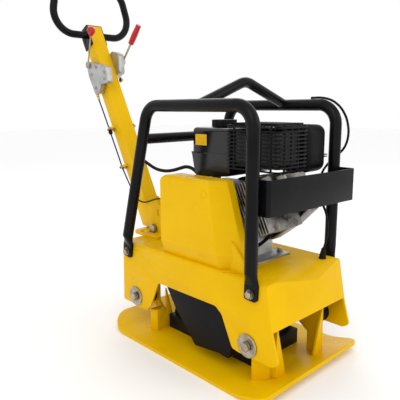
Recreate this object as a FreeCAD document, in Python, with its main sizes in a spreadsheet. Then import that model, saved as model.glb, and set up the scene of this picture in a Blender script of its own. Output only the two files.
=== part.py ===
# Reversible vibratory plate compactor, about 160 kg.
# Frame: +X forward, +Y to the operator's left, +Z up; the origin is on the ground, at the middle
# of the base plate's sole. All lengths are millimetres.
import FreeCAD, Part
import math
import os

from FreeCAD import Placement, Rotation, Vector

X_AXIS, Y_AXIS, Z_AXIS = Vector(1, 0, 0), Vector(0, 1, 0), Vector(0, 0, 1)
NEAR, FAR = -1, 1            # the belt side (-Y) and the starter side (+Y)

doc = FreeCAD.newDocument("plate_compactor")

# ---------------------------------------------------------------------------------------------
# Driving sizes
# ---------------------------------------------------------------------------------------------
SIZES = {
    # base plate
    "plate_length": 706, "plate_width": 472, "plate_thick": 10, "lip_rise": 34, "lip_run": 92,
    "front_radius": 34, "rear_radius": 105,
    # engine bed
    "bed_half": 176, "bed_sheet": 6, "bed_top": 303, "bed_rear": -316, "bed_front": 307,
    "bed_toe": 329, "skirt_z": 182, "arch_z": 198, "lobe_z": 88, "edge_round": 12,
    # rubber mounts
    "mount_x": 248, "mount_z": 121, "mount_face": 113, "rubber_r": 36, "washer_r": 33,
    "washer_thick": 4,
    # roll frame
    "tube_r": 17.5, "tube_wall": 3, "hoop_y": 187, "hoop_top": 756, "hoop_bend": 58,
    "foot_wide": 42, "foot_thick": 10, "cross_z": 655, "cross_r": 16,
    # exciter
    "exciter_z": 100, "drive_x": 110, "idler_x": 0, "exciter_r": 72, "exciter_wall": 9,
    "exciter_near": -100, "exciter_far": 127, "shaft_r": 15, "gear_teeth": 22, "gear_module": 5,
    # engine and belt drive
    "crank_x": 28, "crank_z": 430, "belt_y": -138, "belt_r": 40, "belt_wide": 14,
    "belt_thick": 9, "crank_r": 16, "bore_lean": 25,
    # mast
    "pivot_x": -308, "pivot_z": 322, "lean": 27.7, "mast_half": 30, "mast_depth": 52,
    "mast_back": 20, "mast_top": 856, "stop_z": 319, "grip_r": 14,
}

sheet = doc.addObject("Spreadsheet::Sheet", "Sizes")
for row, (alias, value) in enumerate(SIZES.items(), start=1):
    sheet.set("A%d" % row, alias)
    sheet.set("B%d" % row, str(value))
    sheet.setAlias("B%d" % row, alias)
doc.recompute()


def size(alias):
    """The sheet's value of one driving size."""
    return float(getattr(sheet, alias))


# ---------------------------------------------------------------------------------------------
# Shared ways of making a piece
# ---------------------------------------------------------------------------------------------
nodes = []


def keep(piece, label):
    """Names a finished sub-part, so that it is checked and written."""
    piece.Label = label
    nodes.append(piece)
    return piece


def feature(label, *shapes, at=None):
    """A sub-part whose solids come from Part's own functions."""
    piece = doc.addObject("Part::Feature", label)
    piece.Shape = shapes[0] if len(shapes) == 1 else Part.makeCompound(list(shapes))
    if at is not None:
        piece.Placement = at
    return keep(piece, label)


def bind(piece, **props):
    """Sets each property, or ties it to the sheet where it is given as an expression."""
    for prop, value in props.items():
        if isinstance(value, str):
            piece.setExpression(prop, value)
        else:
            setattr(piece, prop, value)


def put(piece, spot, turn=None):
    """Places a primitive; a coordinate given as text stays tied to the sheet."""
    base = Vector(*[0 if isinstance(value, str) else value for value in spot])
    piece.Placement = Placement(base, turn or Rotation())
    for letter, value in zip("xyz", spot):
        if isinstance(value, str):
            piece.setExpression("Placement.Base." + letter, value)


ALONG_Y = Rotation(X_AXIS, -90)      # turns a primitive's own Z to +Y
ALONG_X = Rotation(Y_AXIS, 90)


def box(name, spot, length, width, height, turn=None):
    piece = doc.addObject("Part::Box", name)
    bind(piece, Length=length, Width=width, Height=height)
    put(piece, spot, turn)
    return piece


def rod(name, spot, radius, height, turn=ALONG_Y):
    piece = doc.addObject("Part::Cylinder", name)
    bind(piece, Radius=radius, Height=height)
    put(piece, spot, turn)
    return piece


def cut(name, base, tool):
    piece = doc.addObject("Part::Cut", name)
    bind(piece, Base=base, Tool=tool)
    return piece


def fuse(name, *shapes):
    piece = doc.addObject("Part::MultiFuse", name)
    piece.Shapes = list(shapes)
    return piece


def group(name, *shapes):
    """Like pieces kept as separate solids of one sub-part."""
    piece = doc.addObject("Part::Compound", name)
    piece.Links = list(shapes)
    return piece


def arc_edges(points, closed):
    """Straight runs and tangent arcs through points (Vector, radius); radius 0 is a sharp turn."""
    count = len(points)
    edges, starts = [], []
    for i, (here, radius) in enumerate(points):
        if radius == 0 or (not closed and i in (0, count - 1)):
            starts.append((here, here, None))
            continue
        back = (points[i - 1][0] - here).normalize()
        ahead = (points[(i + 1) % count][0] - here).normalize()
        half = back.getAngle(ahead) / 2
        reach = radius / math.tan(half)
        middle = here + (back + ahead).normalize() * (radius / math.sin(half) - radius)
        starts.append((here + back * reach, here + ahead * reach, middle))
    for i, (enter, leave, middle) in enumerate(starts):
        if middle is not None:
            edges.append(Part.Arc(enter, middle, leave))
        last = i == count - 1
        if last and not closed:
            break
        follow = starts[(i + 1) % count][0]
        if leave.distanceToPoint(follow) > 1e-6:
            edges.append(Part.LineSegment(leave, follow))
    return edges


def wire(points, closed=True):
    """A wire through (Vector, radius) pairs."""
    return Part.Wire([edge.toShape() for edge in arc_edges(points, closed)])


def side_wire(outline, y):
    """A closed wire in the plane at y, from (x, z) or (x, z, radius) points."""
    return wire([(Vector(p[0], y, p[1]), p[2] if len(p) > 2 else 0) for p in outline])


def side_plate(outline, y_low, y_high):
    """A plate standing along X and Z, between two heights along Y."""
    face = Part.Face(side_wire(outline, y_low))
    return face.extrude(Vector(0, y_high - y_low, 0))


def plan_plate(outline, z_low, z_high):
    """A plate lying flat, from (x, y) or (x, y, radius) points."""
    points = [(Vector(p[0], p[1], z_low), p[2] if len(p) > 2 else 0) for p in outline]
    return Part.Face(wire(points)).extrude(Vector(0, 0, z_high - z_low))


def block(x_low, x_high, y_low, y_high, z_low, z_high):
    """A plain block between two corners."""
    return Part.makeBox(x_high - x_low, y_high - y_low, z_high - z_low,
                        Vector(x_low, y_low, z_low))


def soft_block(x_low, x_high, y_low, y_high, z_low, z_high, radius):
    """A block with every edge rounded."""
    solid = block(x_low, x_high, y_low, y_high, z_low, z_high)
    return solid.makeFillet(radius, solid.Edges)


def cylinder_y(x, z, radius, y_low, y_high):
    return Part.makeCylinder(radius, y_high - y_low, Vector(x, y_low, z), Y_AXIS)


def ring_y(x, z, outer, inner, y_low, y_high):
    return cylinder_y(x, z, outer, y_low, y_high).cut(cylinder_y(x, z, inner, y_low, y_high))


def sweep(points, radius, closed=False):
    """A round bar along straight runs joined by tangent arcs."""
    path = wire(points, closed)
    first = path.Edges[0]
    start = first.valueAt(first.FirstParameter)
    heading = first.tangentAt(first.FirstParameter)
    if not closed:
        start = points[0][0]
        heading = points[1][0] - points[0][0]
    circle = Part.Wire(Part.makeCircle(radius, start, heading))
    return Part.Solid(path.makePipeShell([circle], True, True)) if closed else \
        path.makePipeShell([circle], True, True)


def tube(points, outer, wall):
    """A hollow tube with open ends."""
    return sweep(points, outer).cut(sweep(points, outer - wall))


def hexagon(centre, across, heading, length):
    """A hexagonal head or nut standing along heading from centre."""
    radius = across / math.sqrt(3)
    corners = [Vector(radius * math.cos(k * math.pi / 3), radius * math.sin(k * math.pi / 3), 0)
               for k in range(6)]
    solid = Part.Face(Part.makePolygon(corners + corners[:1])).extrude(Vector(0, 0, length))
    solid.Placement = Placement(centre, Rotation(Z_AXIS, heading))
    return solid


def bolt(centre, across, head, radius, length, heading):
    """A bolt whose head stands along heading from centre, and whose shank goes the other way."""
    shank = Part.makeCylinder(radius, length, centre, heading * -1)
    return hexagon(centre, across, heading, head).fuse(shank)


def pad_body(label, role, outline, length, offset=0.0, middle=False):
    """A PartDesign body: one sketch outline on an origin plane, padded by a sheet expression."""
    body = doc.addObject("PartDesign::Body", label)
    plane = [item for item in body.Origin.OriginFeatures if item.Role == role][0]
    sketch = body.newObject("Sketcher::SketchObject", label + "_outline")
    sketch.AttachmentSupport = [(plane, "")]
    sketch.MapMode = "FlatFace"
    sketch.AttachmentOffset = Placement(Vector(0, 0, offset), Rotation())
    points = [(Vector(p[0], p[1], 0), p[2] if len(p) > 2 else 0) for p in outline]
    sketch.addGeometry(arc_edges(points, True), False)
    pad = body.newObject("PartDesign::Pad", label + "_pad")
    pad.Profile = sketch
    pad.setExpression("Length", length)
    pad.Midplane = middle
    doc.recompute()
    return body


# ---------------------------------------------------------------------------------------------
# Base plate: one thick sheet, flat in the middle and turned up at the front and the rear
# ---------------------------------------------------------------------------------------------
def base_plate():
    half = size("plate_length") / 2
    thick, rise, run = size("plate_thick"), size("lip_rise"), size("lip_run")
    lean = thick * 0.25
    profile = [
        (-half, rise - thick), (-half + run, 0, 160), (half - run, 0, 160), (half, rise - thick),
        (half - lean, rise), (half - run - lean, thick, 150), (-half + run + lean, thick, 150),
        (-half + lean, rise),
    ]
    body = pad_body("base_plate", "XZ_Plane", profile, "Sizes.plate_width", middle=True)
    plane = [item for item in body.Origin.OriginFeatures if item.Role == "XY_Plane"][0]
    trim = body.newObject("Sketcher::SketchObject", "base_plate_plan")
    trim.AttachmentSupport = [(plane, "")]
    trim.MapMode = "FlatFace"
    side, nose, tail = size("plate_width") / 2, size("front_radius"), size("rear_radius")
    margin = 30
    outer = [(half + margin, side + margin), (-half - margin, side + margin),
             (-half - margin, -side - margin), (half + margin, -side - margin)]
    inner = [(half, side, nose), (-half, side, tail), (-half, -side, tail), (half, -side, nose)]
    for outline in (outer, inner):
        points = [(Vector(p[0], p[1], 0), p[2] if len(p) > 2 else 0) for p in outline]
        trim.addGeometry(arc_edges(points, True), False)
    pocket = body.newObject("PartDesign::Pocket", "base_plate_corners")
    pocket.Profile = trim
    pocket.Type = "ThroughAll"
    pocket.Midplane = True
    keep(body, "base_plate")


# ---------------------------------------------------------------------------------------------
# Uprights: four folded brackets on the plate that carry the rubber mounts
# ---------------------------------------------------------------------------------------------
def plate_uprights():
    face, floor = size("mount_face"), size("plate_thick")
    inner = face - 8
    uprights = []
    for end, low, high in ((1, 248, 298), (-1, 172, 208)):
        outer = max(high, 286)
        outline = [(low, floor), (high, floor), (high, 70), (outer, 100), (outer, 166, 10),
                   (205, 166, 10), (205, 100), (low, 70)]
        toe = high - 8 if end > 0 else low
        for side in (NEAR, FAR):
            plate = side_plate([(end * p[0],) + tuple(p[1:]) for p in outline],
                               min(side * inner, side * face), max(side * inner, side * face))
            near_x, far_x, reach = (low, high - 16, 12) if end > 0 else (high - 12, low, 34)
            foot = plan_plate([(end * near_x, side * face), (end * far_x, side * face),
                               (end * far_x, side * (face + reach)), (end * near_x, side * 158)],
                              floor, 84)
            hollow_ends = sorted([end * (min(near_x, far_x) + 9), end * (max(near_x, far_x) - 9)])
            hollow = block(*hollow_ends, min(side * face, side * 124), max(side * face, side * 124),
                           floor, 76)
            corners = [Vector(end * toe, side * inner, floor), Vector(end * toe, side * 68, floor),
                       Vector(end * toe, side * inner, 150)]
            gusset = Part.Face(Part.makePolygon(corners + corners[:1]))
            gusset = gusset.extrude(Vector(end * 8, 0, 0))
            solid = plate.fuse([foot.cut(hollow), gusset]).removeSplitter()
            uprights.append(solid.cut(doc.getObject("base_plate").Shape))
    feature("plate_uprights", *uprights)


# ---------------------------------------------------------------------------------------------
# Exciter: a cast housing with two geared shafts, each with an eccentric weight
# ---------------------------------------------------------------------------------------------
def exciter_outline(radius):
    """Two circles round the shafts joined by straight sides, with a flat foot."""
    left, right, z = size("idler_x"), size("drive_x"), size("exciter_z")
    return [(left - radius, z - radius, radius * 0.98), (right + radius, z - radius, radius * 0.98),
            (right + radius, z + radius, radius * 0.98), (left - radius, z + radius, radius * 0.98)]


def exciter_housing():
    near, far = size("exciter_near"), size("exciter_far")
    radius, wall, z = size("exciter_r"), size("exciter_wall"), size("exciter_z")
    left, right = size("idler_x"), size("drive_x")
    shell = side_plate(exciter_outline(radius), near, far)
    hollow = side_plate(exciter_outline(radius - wall), near, far)
    foot = block(left - radius - 98, right + radius + 18, near + 3, far - 3,
                 size("plate_thick"), 56)
    foot = foot.cut(side_plate(exciter_outline(radius - wall), near, far))
    ribs = [block(x - 4, x + 4, near + 14, far - 14, z + radius - 12, z + radius + 10)
            for x in (left, (left + right) / 2, right)]
    ribs = [rib.cut(hollow) for rib in ribs]
    rear = left - radius
    boss = Part.makeCylinder(20, 84, Vector(rear - 82, near + 34, 66), X_AXIS)
    arm = block(rear - 66, rear + 12, near + 14, near + 54, 50, 92).cut(hollow)
    body = shell.cut(hollow).fuse([foot, boss.cut(hollow), arm] + ribs + bearing_walls())
    feature("exciter_housing", body.removeSplitter())


def exciter_covers():
    covers = []
    radius, z = size("exciter_r"), size("exciter_z")
    for low, high in ((size("exciter_near") - 12, size("exciter_near")),
                      (size("exciter_far"), size("exciter_far") + 12)):
        plate = side_plate(exciter_outline(radius), low, high)
        if low < 0:
            plate = plate.cut(cylinder_y(size("drive_x"), z, size("shaft_r") + 4, low, high))
        covers.append(plate)
    feature("exciter_covers", *covers)


def exciter_bearings():
    rings = []
    z, bore = size("exciter_z"), size("shaft_r")
    for x in (size("drive_x"), size("idler_x")):
        for low in (size("exciter_near") + 1, size("exciter_far") - 19):
            rings.append(ring_y(x, z, 40, bore + 0.05, low, low + 18))
    feature("exciter_bearings", *rings)


def bearing_walls():
    """The housing's inner webs that seat the bearings' outer rings."""
    z = size("exciter_z")
    webs = []
    for low in (size("exciter_near") + 1, size("exciter_far") - 19):
        web = side_plate(exciter_outline(size("exciter_r") - size("exciter_wall")), low, low + 18)
        for x in (size("drive_x"), size("idler_x")):
            web = web.cut(cylinder_y(x, z, 40, low, low + 18))
        webs.append(web)
    return webs


def exciter_shaft(name, x, near_end):
    z, radius = size("exciter_z"), size("shaft_r")
    feature(name + "_shaft", cylinder_y(x, z, radius, near_end, size("exciter_far") - 1.5))


def exciter_weight(name, x):
    """A half-round steel weight pressed on the shaft."""
    z, bore = size("exciter_z"), size("shaft_r")
    disc = ring_y(x, z, 52, bore, -70, 66)
    lighter = block(x - 60, x + 60, -71, 67, z + 16, z + 60)
    feature(name + "_weight", disc.cut(lighter))


def involute_gear(x, z, y_low, y_high, phase):
    """A spur gear whose tooth flanks are involutes, with 0.5 mm of backlash."""
    teeth, module = int(size("gear_teeth")), size("gear_module")
    pitch = teeth * module / 2
    base = pitch * math.cos(math.radians(20))
    tip, root = pitch + module, pitch - 1.25 * module

    def spread(angle):
        return math.tan(angle) - angle

    half = (math.pi * module / 2 - 0.5) / (2 * pitch) + spread(math.radians(20))
    radii = [root] + [base + (tip - base) * k / 6 for k in range(7)]
    flank = [(r, half - (spread(math.acos(base / r)) if r > base else 0)) for r in radii]
    corners = []
    for tooth in range(teeth):
        middle = phase + 2 * math.pi * tooth / teeth
        for r, turn in flank:
            corners.append((r, middle - turn))
        for r, turn in reversed(flank):
            corners.append((r, middle + turn))
    points = [Vector(x + r * math.cos(a), y_low, z + r * math.sin(a)) for r, a in corners]
    gear = Part.Face(Part.makePolygon(points + points[:1])).extrude(Vector(0, y_high - y_low, 0))
    return gear.cut(cylinder_y(x, z, size("shaft_r"), y_low, y_high))


def exciter_gears():
    z, teeth = size("exciter_z"), size("gear_teeth")
    y_low, y_high = 82, 98
    feature("drive_gear", involute_gear(size("drive_x"), z, y_low, y_high, 0))
    feature("idler_gear", involute_gear(size("idler_x"), z, y_low, y_high, math.pi / teeth))


# ---------------------------------------------------------------------------------------------
# Belt drive: two equal grooved pulleys and the belt round them
# ---------------------------------------------------------------------------------------------
def pulley(x, z, bore):
    """A pulley with one V groove, the belt's own depth below its rim."""
    y, wide, rim = size("belt_y"), size("belt_wide"), size("belt_r") + 1
    deep = size("belt_thick") + 0.6
    half = wide / 2
    profile = [Vector(x + bore, y - half - 6, z), Vector(x + rim, y - half - 6, z),
               Vector(x + rim, y - half - 0.5, z), Vector(x + rim - deep, y - half + 2, z),
               Vector(x + rim - deep, y + half - 2, z), Vector(x + rim, y + half + 0.5, z),
               Vector(x + rim, y + half + 6, z), Vector(x + bore, y + half + 6, z)]
    face = Part.Face(Part.makePolygon(profile + profile[:1]))
    return face.revolve(Vector(x, y, z), Y_AXIS, 360)


def v_belt():
    top = Vector(size("crank_x"), 0, size("crank_z"))
    low = Vector(size("drive_x"), 0, size("exciter_z"))
    span = top.distanceToPoint(low)
    outer, y = size("belt_r"), size("belt_y")
    half = size("belt_wide") / 2

    middle = outer - size("belt_thick") / 2
    corners = [(Vector(middle, y, span / 2), 0), (Vector(middle, y, span + middle), middle * 0.999),
               (Vector(-middle, y, span + middle), middle * 0.999),
               (Vector(-middle, y, -middle), middle * 0.999),
               (Vector(middle, y, -middle), middle * 0.999)]
    inner, foot = outer - size("belt_thick") + 0.8, half - 2.2
    profile = Part.makePolygon([Vector(x, y + aside, span / 2) for x, aside in
                                ((inner, -foot), (outer, -half + 0.1), (outer, half - 0.1),
                                 (inner, foot), (inner, -foot))])
    belt = wire(corners).makePipeShell([profile], True, True)
    turn = math.degrees(math.atan2(top.x - low.x, top.z - low.z))
    feature("v_belt", belt, at=Placement(low, Rotation(Y_AXIS, turn)))


# ---------------------------------------------------------------------------------------------
# Rubber mounts: four rubber cylinders between the uprights and the bed's side plates
# ---------------------------------------------------------------------------------------------
MOUNT_SPOTS = [(x, side) for x in (-1, 1) for side in (NEAR, FAR)]


def rubber_mounts():
    rubbers = []
    for end, side in MOUNT_SPOTS:
        name = "rubber_%s_%s" % ("front" if end > 0 else "rear", "far" if side > 0 else "near")
        low = "Sizes.mount_face" if side > 0 else "-Sizes.bed_half + Sizes.bed_sheet"
        rubbers.append(rod(name, ("%d * Sizes.mount_x" % end, low, "Sizes.mount_z"),
                           "Sizes.rubber_r", "Sizes.bed_half - Sizes.bed_sheet - Sizes.mount_face"))
    keep(group("rubber_mounts", *rubbers), "rubber_mounts")


def mount_bolts():
    """At each mount a large washer and the bolt that clamps the bed's cheek to the rubber."""
    fasteners = []
    for end, side in MOUNT_SPOTS:
        outer = side * size("bed_half")
        inner = outer + side * size("washer_thick")
        fasteners.append(ring_y(end * size("mount_x"), size("mount_z"), size("washer_r"), 8.2,
                                min(outer, inner), max(outer, inner)))
        face = Vector(end * size("mount_x"), inner, size("mount_z"))
        fasteners.append(bolt(face, 24, 10, 8, size("washer_thick") + size("bed_sheet"),
                              Y_AXIS * side))
    feature("mount_bolts", *fasteners)


# ---------------------------------------------------------------------------------------------
# Engine bed: a folded deck with a sloping front, between two side plates with mount lobes
# ---------------------------------------------------------------------------------------------
def bed_side_outline():
    rear, front, toe = size("bed_rear"), size("bed_front"), size("bed_toe")
    top, arch, lobe = size("bed_top"), size("arch_z"), size("lobe_z")
    return [(rear, top), (rear - 5, lobe + 2, 6), (-262, lobe + 2, 4), (-250, lobe - 4, 4),
            (-194, lobe - 2, 12), (-170, lobe + 20, 10), (-128, arch, 14), (128, arch, 20),
            (152, arch - 18, 14), (192, lobe + 6, 12), (218, lobe + 2, 20), (330, lobe + 2, 16),
            (351, lobe + 14, 12), (toe, size("skirt_z")), (front, top)]


def engine_bed():
    half, sheet_t = size("bed_half"), size("bed_sheet")
    rear, front, toe = size("bed_rear"), size("bed_front"), size("bed_toe")
    top, skirt = size("bed_top"), size("skirt_z")
    outer = side_plate([(rear - 2.4, skirt), (rear, top), (front, top), (toe, skirt)], -half, half)
    long_edges = [edge for edge in outer.Edges
                  if abs(edge.Vertexes[0].Z - top) < 1 and abs(edge.Vertexes[-1].Z - top) < 1
                  and abs(abs(edge.Vertexes[0].Y) - half) < 1
                  and abs(edge.Vertexes[0].X - edge.Vertexes[-1].X) > 10]
    outer = outer.makeFillet(size("edge_round"), long_edges)
    inner = side_plate([(rear - 2.4 + sheet_t, skirt), (rear + sheet_t, top - sheet_t),
                        (front - sheet_t, top - sheet_t), (toe - sheet_t, skirt)],
                       -half + sheet_t, half - sheet_t)

    def bevel(shift):
        """The corner that the folded front edge gives up where it dips over its middle."""
        rear_end, front_end = Vector(250, 49, top), Vector(toe - 15, 49, top - 37)
        ends = [Vector(front, -136, top), Vector(front, 172, top)]
        above = Vector(front + 60, 20, top + 80)
        corners = [rear_end, front_end] + ends
        faces = []
        for a, b, c in ((0, 1, 2), (0, 1, 3)):
            faces.append((corners[a], corners[b], corners[c]))
        for a, b in ((0, 2), (2, 1), (1, 3), (3, 0)):
            faces.append((corners[a], corners[b], above))
        shell = Part.Shell([Part.Face(Part.makePolygon(list(f) + [f[0]])) for f in faces])
        solid = Part.Solid(shell)
        if solid.Volume < 0:
            solid.reverse()
        solid.translate(Vector(-shift, 0, -shift))
        return solid

    deck = outer.cut(bevel(0)).cut(inner.cut(bevel(sheet_t)))
    arch = side_plate([(-150, 150), (-128, size("arch_z"), 14), (128, size("arch_z"), 20),
                       (152, size("arch_z") - 18, 14), (164, 150)], -half - 1, half + 1)
    deck = deck.cut(arch)
    cheeks = []
    for side in (NEAR, FAR):
        low = min(side * half, side * (half - sheet_t))
        plate = side_plate(bed_side_outline(), low, low + sheet_t)
        ledge = side_plate([(rear - 10, top - 14), (rear - 10, top + 2), (front + 10, top + 2),
                            (front + 10, top - 14)], low, low + sheet_t)
        plate = plate.cut(ledge)
        for end in (-1, 1):
            plate = plate.cut(cylinder_y(end * size("mount_x"), size("mount_z"), 8.2,
                                         low - 1, low + sheet_t + 1))
        cheeks.append(plate)
    slot = block(-62, 172, size("belt_y") - 17, size("belt_y") + 17, top - 12, top + 2)
    bed = deck.fuse(cheeks).cut(slot).removeSplitter()
    feature("engine_bed", bed)


# ---------------------------------------------------------------------------------------------
# Roll frame: two tube hoops, a rear cross bar, a lifting bar and a front plate
# ---------------------------------------------------------------------------------------------
HOOP_FEET = ((-1, -281, 273), (1, 263, 273))      # end, x and z of each foot's bolt


def hoop(label, side):
    y, top = side * size("hoop_y"), size("hoop_top")
    start, stop = 330.0, size("hoop_top")
    rear_x, front_x = -148, 268
    rear_foot, front_foot = Vector(-271, y, start), Vector(266, y, start)
    points = [(rear_foot, 0), (Vector(rear_x, y, stop), size("hoop_bend")),
              (Vector(front_x, y, top), size("hoop_bend")), (front_foot, 0)]
    bent = tube(points, size("tube_r"), size("tube_wall"))
    feet = [hoop_foot(side, rear_foot, points[1][0] - rear_foot, HOOP_FEET[0]),
            hoop_foot(side, front_foot, points[2][0] - front_foot, HOOP_FEET[1])]
    feature(label, bent, *feet)


def hoop_foot(side, top_centre, heading, foot):
    """The tube's flattened end: round where it leaves the tube, flat where it is bolted."""
    outer = side * size("bed_half")
    thick, half_wide = size("foot_thick"), size("foot_wide") / 2
    mid_y = outer + side * thick / 2
    circle = Part.Wire(Part.makeCircle(size("tube_r"), top_centre, heading))
    end, x, z = foot
    low = Vector(x, mid_y, z)
    lift = Vector(top_centre.x - x, 0, top_centre.z - z).normalize()
    across = Vector(lift.z, 0, -lift.x)
    waist = low + lift * 24
    flat = []
    for du, dv in ((-1, -1), (1, -1), (1, 1), (-1, 1)):
        flat.append(waist + across * (du * half_wide) + Y_AXIS * (dv * thick / 2))
    flat_wire = Part.makePolygon(flat + flat[:1])
    neck = Part.makeLoft([circle, flat_wire], True)
    corners = [waist - across * half_wide, waist + across * half_wide,
               low + across * half_wide - lift * 18, low - across * half_wide - lift * 18]
    outline = [(corners[0].x, corners[0].z), (corners[1].x, corners[1].z),
               (corners[2].x, corners[2].z, 8), (corners[3].x, corners[3].z, 8)]
    pad = side_plate(outline, mid_y - thick / 2, mid_y + thick / 2)
    hole = cylinder_y(x, z, 6.5, mid_y - thick, mid_y + thick)
    return neck.fuse(pad).cut(hole)


def hoop_bolts():
    bolts = []
    for side in (NEAR, FAR):
        for _, x, z in HOOP_FEET:
            face = side * (size("bed_half") + size("foot_thick"))
            washer = ring_y(x, z, 13, 6.5, min(face, face + side * 2.5), max(face, face + side * 2.5))
            screw = bolt(Vector(x, face + side * 2.5, z), 18, 8, 6.2, 2.5 + size("foot_thick"),
                         Y_AXIS * side)
            bolts.extend([washer, screw])
    feature("hoop_bolts", *bolts)


def rear_cross_bar():
    """A straight tube between the rear legs, mitred to their round sides."""
    z, x = size("cross_z"), -148 - (size("hoop_top") - size("cross_z")) * 123 / 426
    half = size("hoop_y")
    bar = ring_y(x, z, size("cross_r"), size("cross_r") - size("tube_wall"), -half, half)
    for side in (NEAR, FAR):
        y = side * half
        leg = sweep([(Vector(-271, y, 330), 0), (Vector(-148, y, size("hoop_top")), 0)],
                    size("tube_r") + 0.02)
        bar = bar.cut(leg)
    solids = sorted(bar.Solids, key=lambda solid: solid.Volume)
    feature("rear_cross_bar", solids[-1])


def lifting_bar():
    """A bent tube over the machine's balance point, welded to the hoops' top rails."""
    x, rail, peak, radius = 78, size("hoop_top"), 826, 15
    y = size("hoop_y")
    points = [(Vector(x, -y, rail + 2), 0), (Vector(x, 0, peak), 70), (Vector(x, y, rail + 2), 0)]
    bar = tube(points, radius, 3)
    for side in (NEAR, FAR):
        bar = bar.cut(Part.makeCylinder(size("tube_r") + 0.02, 120, Vector(x - 60, side * y, rail),
                                        X_AXIS))
    feature("lifting_bar", sorted(bar.Solids, key=lambda solid: solid.Volume)[-1])


def front_plate():
    """The bumper plate across the front legs: a folded sheet with returned ends."""
    back = 4
    shell = [Vector(x, y, 478) for x, y in ((268, -168), (303, -166), (324, 212), (258, 214))]
    outer = plan_plate([(shell[0].x, shell[0].y), (shell[1].x, shell[1].y, 10),
                        (shell[2].x, shell[2].y, 10), (shell[3].x, shell[3].y)], 478, 572)
    inner = plan_plate([(shell[0].x - 30, shell[0].y + back), (shell[1].x - back, shell[1].y + back, 7),
                        (shell[2].x - back, shell[2].y - back, 7),
                        (shell[3].x - 30, shell[3].y - back)], 478, 572)
    feature("front_plate", outer.cut(inner))


# ---------------------------------------------------------------------------------------------
# Belt guard and lower belt cover
# ---------------------------------------------------------------------------------------------
GUARD_FOOT = [(-112, -174), (128, -174), (190, -130), (190, -104), (-112, -104)]
GUARD_HEAD = [(-112, -174), (96, -174), (127, -130), (127, -104), (-112, -104)]
GUARD_BAND_Z, GUARD_HEAD_Z = 345, 550
GUARD_BOLT = (216, -130)


def polygon_at(outline, z, inset=0.0):
    """A closed polygon at one height, pulled in by inset towards its own middle."""
    cx = sum(p[0] for p in outline) / len(outline)
    cy = max(p[1] for p in outline) - 5
    points = []
    for x, y in outline:
        points.append(Vector(x - math.copysign(inset, x - cx), y - math.copysign(inset, y - cy), z))
    return Part.makePolygon(points + points[:1])


def belt_guard():
    """A pressed yellow shell over the clutch and the belt, open underneath."""
    shell = Part.makeLoft([polygon_at(GUARD_FOOT, GUARD_BAND_Z), polygon_at(GUARD_HEAD, GUARD_HEAD_Z)],
                          True, True)
    round_edges = []
    for edge in shell.Edges:
        low, high = edge.Vertexes[0].Point, edge.Vertexes[-1].Point
        on_top = abs(low.z - GUARD_HEAD_Z) < 1 and abs(high.z - GUARD_HEAD_Z) < 1
        if on_top and not (abs(low.y + 104) < 1 and abs(high.y + 104) < 1):
            round_edges.append(edge)
    shell = shell.makeFillet(20, round_edges)
    skirt_foot = [(-110, -160), (132, -160), (186, -124), (186, -104), (-110, -104)]
    skirt = Part.makeLoft([polygon_at(skirt_foot, size("bed_top")), polygon_at(GUARD_FOOT, GUARD_BAND_Z)],
                          True, True)
    wall = 3
    inside = Part.makeLoft([polygon_at(GUARD_FOOT, GUARD_BAND_Z, wall),
                            polygon_at(GUARD_HEAD, GUARD_HEAD_Z - wall, wall)], True, True)
    inside = inside.makeFillet(13, [edge for edge in inside.Edges
                                    if min(v.Z for v in edge.Vertexes) > GUARD_HEAD_Z - wall - 1])
    skirt_inside = Part.makeLoft([polygon_at(skirt_foot, size("bed_top"), wall),
                                  polygon_at(GUARD_FOOT, GUARD_BAND_Z, wall)], True, True)
    guard = shell.fuse(skirt).cut(inside.fuse(skirt_inside))
    guard = guard.cut(cylinder_y(size("crank_x"), size("crank_z"), 30, -112, -100))
    top = size("bed_top")
    fin = side_plate([(150, top), (226, top), (226, top + 8), (162, top + 84)], -147, -141)
    tab = block(196, 236, -147, -112, top, top + 5)
    tab = tab.cut(Part.makeCylinder(4.5, 5, Vector(GUARD_BOLT[0], GUARD_BOLT[1], top)))
    inner = Part.makeLoft([polygon_at(skirt_foot, top, wall), polygon_at(GUARD_FOOT, GUARD_BAND_Z, wall)],
                          True, True)
    inner = inner.fuse(Part.makeLoft([polygon_at(GUARD_FOOT, GUARD_BAND_Z, wall),
                                      polygon_at(GUARD_HEAD, GUARD_HEAD_Z - wall, wall)], True, True))
    vents = [block(x, x + 30, -146, -139, GUARD_HEAD_Z - 6, GUARD_HEAD_Z + 2)
             for x in (-70, -26, 18, 62)]
    feature("belt_guard", guard.fuse([fin.cut(inner), tab]).cut(Part.makeCompound(vents)))


COVER_OUTLINE = [(-102, 206), (136, 206), (150, 180), (182, 91, 8), (176, 50, 10), (136, 54, 10),
                 (34, 42, 12), (-2, 84, 12), (-54, 135, 14)]


def lower_belt_cover():
    """A black moulded cover round the exciter pulley, open at the top to the bed's slot."""
    outer = side_plate(COVER_OUTLINE, -169, -118)
    hollow = [(-95, 210), (132, 210), (145, 178), (178, 91, 6), (172, 53, 7), (136, 56.5, 7),
              (37, 45, 10), (2, 87, 10), (-50, 139, 12)]
    shell = outer.cut(side_plate(hollow, -165, -118))
    feature("lower_belt_cover", shell)


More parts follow.
